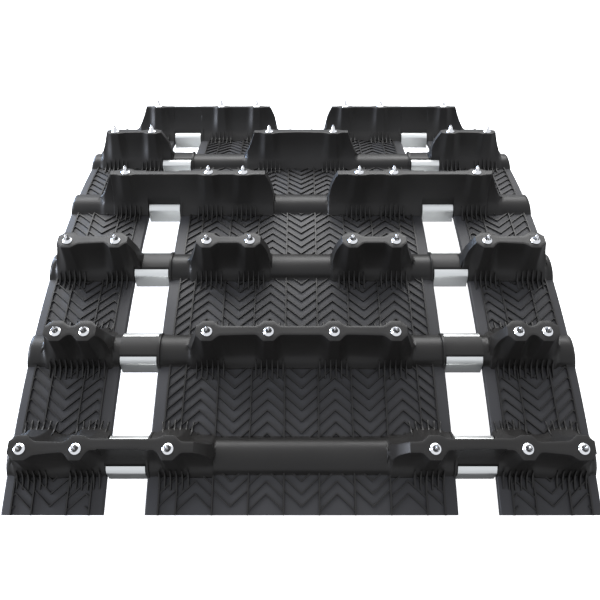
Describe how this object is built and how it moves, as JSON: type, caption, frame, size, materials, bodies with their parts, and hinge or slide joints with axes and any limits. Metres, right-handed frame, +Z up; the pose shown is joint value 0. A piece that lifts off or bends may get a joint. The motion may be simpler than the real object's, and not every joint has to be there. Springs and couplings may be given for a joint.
{
  "type": "studded rubber track section",
  "caption": "Flexible rubber drive track section with drive windows, steel rod clips, tall traction lugs and pointed metal studs on top of each lug.",
  "frame": {"origin": "centre of the section, on the ground plane that the outermost drive lugs stand on", "axes": "+X across the track to the right, +Y along the belt away from the first row, +Z up, the side the traction lugs point to"},
  "size_m": [0.381, 0.4248, 0.0996],
  "materials": {
    "belt_rubber": "satin black with a moulded rib net",
    "lug_rubber": "satin black",
    "rod_fibreglass": "pultruded fibreglass",
    "clip_steel": "bright zinc-plated sheet",
    "stud_steel": "polished",
    "carbide": "ground"
  },
  "bodies": {
    "pitch_1": {"belt_left_1": "belt_rubber", "belt_centre_1": "belt_rubber", "belt_right_1": "belt_rubber", "cross_rod_1": "rod_fibreglass", "tread_lugs_1": "lug_rubber", "rod_clips_1": "clip_steel", "studs_1": "stud_steel", "stud_tips_1": "carbide", "drive_lugs_1": "lug_rubber"},
    "pitch_2": {"belt_left_2": "belt_rubber", "belt_centre_2": "belt_rubber", "belt_right_2": "belt_rubber", "cross_rod_2": "rod_fibreglass", "tread_lugs_2": "lug_rubber", "rod_clips_2": "clip_steel", "studs_2": "stud_steel", "stud_tips_2": "carbide", "drive_lugs_2": "lug_rubber"},
    "pitch_3": {"belt_left_3": "belt_rubber", "belt_centre_3": "belt_rubber", "belt_right_3": "belt_rubber", "cross_rod_3": "rod_fibreglass", "tread_lugs_3": "lug_rubber", "rod_clips_3": "clip_steel", "studs_3": "stud_steel", "stud_tips_3": "carbide", "drive_lugs_3": "lug_rubber"},
    "pitch_4": {"belt_left_4": "belt_rubber", "belt_centre_4": "belt_rubber", "belt_right_4": "belt_rubber", "cross_rod_4": "rod_fibreglass", "tread_lugs_4": "lug_rubber", "rod_clips_4": "clip_steel", "studs_4": "stud_steel", "stud_tips_4": "carbide", "drive_lugs_4": "lug_rubber"},
    "pitch_5": {"belt_left_5": "belt_rubber", "belt_centre_5": "belt_rubber", "belt_right_5": "belt_rubber", "cross_rod_5": "rod_fibreglass", "tread_lugs_5": "lug_rubber", "rod_clips_5": "clip_steel", "studs_5": "stud_steel", "stud_tips_5": "carbide", "drive_lugs_5": "lug_rubber"},
    "pitch_6": {"belt_left_6": "belt_rubber", "belt_centre_6": "belt_rubber", "belt_right_6": "belt_rubber", "cross_rod_6": "rod_fibreglass", "tread_lugs_6": "lug_rubber", "rod_clips_6": "clip_steel", "studs_6": "stud_steel", "stud_tips_6": "carbide", "drive_lugs_6": "lug_rubber"}
  },
  "joints": [
    {"name": "web_3_4", "type": "hinge", "parent": "pitch_3", "child": "pitch_4", "pos_m": [0, 0, 0.05867], "axis": [-1, 0, 0], "range_deg": [-13.2, 36.8], "stiffness_Nm_per_rad": 40},
    {"name": "web_4_5", "type": "hinge", "parent": "pitch_4", "child": "pitch_5", "pos_m": [0, 0.07245, 0.05348], "axis": [-1, 0, 0], "range_deg": [-13.2, 36.8], "stiffness_Nm_per_rad": 40},
    {"name": "web_5_6", "type": "hinge", "parent": "pitch_5", "child": "pitch_6", "pos_m": [0, 0.14343, 0.038], "axis": [-1, 0, 0], "range_deg": [-13.2, 36.8], "stiffness_Nm_per_rad": 40},
    {"name": "web_2_3", "type": "hinge", "parent": "pitch_3", "child": "pitch_2", "pos_m": [0, -0.07245, 0.05348], "axis": [1, 0, 0], "range_deg": [-13.2, 36.8], "stiffness_Nm_per_rad": 40},
    {"name": "web_1_2", "type": "hinge", "parent": "pitch_2", "child": "pitch_1", "pos_m": [0, -0.14343, 0.038], "axis": [1, 0, 0], "range_deg": [-13.2, 36.8], "stiffness_Nm_per_rad": 40}
  ]
}
